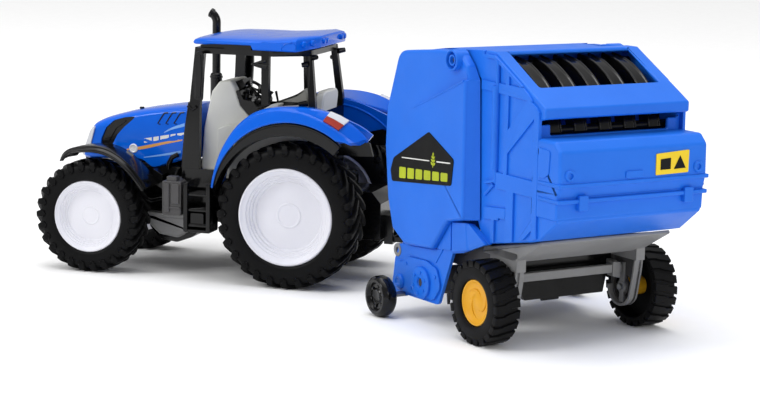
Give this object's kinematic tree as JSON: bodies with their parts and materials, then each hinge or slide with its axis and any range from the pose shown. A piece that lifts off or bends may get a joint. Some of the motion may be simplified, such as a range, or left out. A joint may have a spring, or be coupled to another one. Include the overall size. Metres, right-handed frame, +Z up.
{
  "type": "toy tractor with round baler",
  "caption": "Farm toy: an articulated tractor towing a round baler on a pin hitch, with rolling wheels, a lifting tailgate and a turning pickup reel.",
  "frame": {"origin": "on the ground, at the centre of the whole toy's footprint box", "axes": "+Z up, the tractor drives towards -Y with its left side at +X; the baler is hitched behind it, turned towards +X"},
  "size_m": [0.2118, 0.3752, 0.1411],
  "materials": {
    "tractor_blue": "glossy royal blue moulding",
    "baler_blue": "satin mid-blue moulding",
    "black_plastic": "satin black moulding",
    "dark_grey_plastic": "satin dark grey moulding",
    "grey_plastic": "satin mid-grey moulding",
    "interior_grey": "satin warm grey moulding",
    "wheel_white": "satin white moulding",
    "wheel_yellow": "satin golden yellow moulding",
    "tyre_black": "soft matt black moulding",
    "lamp_silver": "silver printed lamp faces",
    "lamp_red": "red printed lamp faces",
    "axle_steel": "bright steel wire"
  },
  "bodies": {
    "tractor": {"chassis": "black_plastic", "engine_sump": "grey_plastic", "hood": "tractor_blue", "side_grilles": "black_plastic", "grille": "black_plastic", "headlights": "lamp_silver", "cab_frame": "black_plastic", "cab_roof": "tractor_blue", "cab_interior": "interior_grey", "seat": "interior_grey", "dashboard": "black_plastic", "steering_column": "black_plastic", "exhaust_stack": "black_plastic", "mirror_left": "black_plastic", "mirror_right": "black_plastic", "rear_fender_left": "tractor_blue", "rear_fender_right": "tractor_blue", "fender_flare_left": "dark_grey_plastic", "fender_flare_right": "dark_grey_plastic", "tail_lamps": "lamp_red", "step_left": "black_plastic", "step_right": "black_plastic", "toolbox_left": "dark_grey_plastic", "fuel_tank_right": "dark_grey_plastic", "front_fender_left": "dark_grey_plastic", "front_fender_right": "dark_grey_plastic", "front_axle": "axle_steel", "rear_axle": "axle_steel", "rear_hitch": "black_plastic", "hitch_pin": "axle_steel"},
    "steering_wheel": {"steering_wheel": "black_plastic"},
    "baler": {"drawbar": "dark_grey_plastic", "baler_chassis": "grey_plastic", "belly_panel": "black_plastic", "baler_front_shell": "baler_blue", "side_shield_left": "baler_blue", "side_shield_right": "baler_blue", "pickup_plate_left": "baler_blue", "pickup_plate_right": "baler_blue", "stub_axles": "axle_steel", "gauge_pins": "axle_steel", "tailgate_pins": "axle_steel"},
    "tailgate": {"tailgate": "baler_blue", "rear_cover": "baler_blue", "belt_bars": "black_plastic"},
    "pickup_reel": {"pickup_reel": "black_plastic"},
    "wheel_front_left": {"tyre_front_left": "tyre_black", "rim_front_left": "wheel_white"},
    "wheel_front_right": {"tyre_front_right": "tyre_black", "rim_front_right": "wheel_white"},
    "wheel_rear_left": {"tyre_rear_left": "tyre_black", "rim_rear_left": "wheel_white"},
    "wheel_rear_right": {"tyre_rear_right": "tyre_black", "rim_rear_right": "wheel_white"},
    "baler_wheel_left": {"baler_tyre_left": "tyre_black", "baler_rim_left": "wheel_yellow"},
    "gauge_wheel_left": {"gauge_wheel_left": "tyre_black"},
    "baler_wheel_right": {"baler_tyre_right": "tyre_black", "baler_rim_right": "wheel_yellow"},
    "gauge_wheel_right": {"gauge_wheel_right": "tyre_black"}
  },
  "joints": [
    {"name": "wheel_front_left_spin", "type": "hinge", "parent": "tractor", "child": "wheel_front_left", "pos_m": [-0.0552, -0.1566, 0.031], "axis": [1, 0, 0], "continuous": true},
    {"name": "wheel_front_right_spin", "type": "hinge", "parent": "tractor", "child": "wheel_front_right", "pos_m": [-0.0552, -0.1566, 0.031], "axis": [1, 0, 0], "continuous": true},
    {"name": "wheel_rear_left_spin", "type": "hinge", "parent": "tractor", "child": "wheel_rear_left", "pos_m": [-0.0552, -0.0406, 0.039], "axis": [1, 0, 0], "continuous": true},
    {"name": "wheel_rear_right_spin", "type": "hinge", "parent": "tractor", "child": "wheel_rear_right", "pos_m": [-0.0552, -0.0406, 0.039], "axis": [1, 0, 0], "continuous": true},
    {"name": "steering_spin", "type": "hinge", "parent": "tractor", "child": "steering_wheel", "pos_m": [-0.0552, -0.074, 0.0986], "axis": [0, 0.6428, 0.766], "continuous": true},
    {"name": "hitch_turn", "type": "hinge", "parent": "tractor", "child": "baler", "pos_m": [-0.0552, 0.015, 0.029], "axis": [0, 0, 1], "range_deg": [-18, 101.8]},
    {"name": "tailgate_lift", "type": "hinge", "parent": "baler", "child": "tailgate", "pos_m": [0.02053, 0.0994, 0.1333], "axis": [0.7443, -0.6678, 0], "range_deg": [0, 62]},
    {"name": "baler_wheel_left_spin", "type": "hinge", "parent": "baler", "child": "baler_wheel_left", "pos_m": [0.03997, 0.12106, 0.0205], "axis": [0.7443, -0.6678, 0], "continuous": true},
    {"name": "gauge_wheel_left_spin", "type": "hinge", "parent": "baler", "child": "gauge_wheel_left", "pos_m": [-0.00932, 0.06613, 0.0104], "axis": [0.7443, -0.6678, 0], "continuous": true},
    {"name": "baler_wheel_right_spin", "type": "hinge", "parent": "baler", "child": "baler_wheel_right", "pos_m": [0.03997, 0.12106, 0.0205], "axis": [0.7443, -0.6678, 0], "continuous": true},
    {"name": "gauge_wheel_right_spin", "type": "hinge", "parent": "baler", "child": "gauge_wheel_right", "pos_m": [-0.00932, 0.06613, 0.0104], "axis": [0.7443, -0.6678, 0], "continuous": true},
    {"name": "pickup_spin", "type": "hinge", "parent": "baler", "child": "pickup_reel", "pos_m": [0.00183, 0.07856, 0.0195], "axis": [0.7443, -0.6678, 0], "continuous": true}
  ]
}
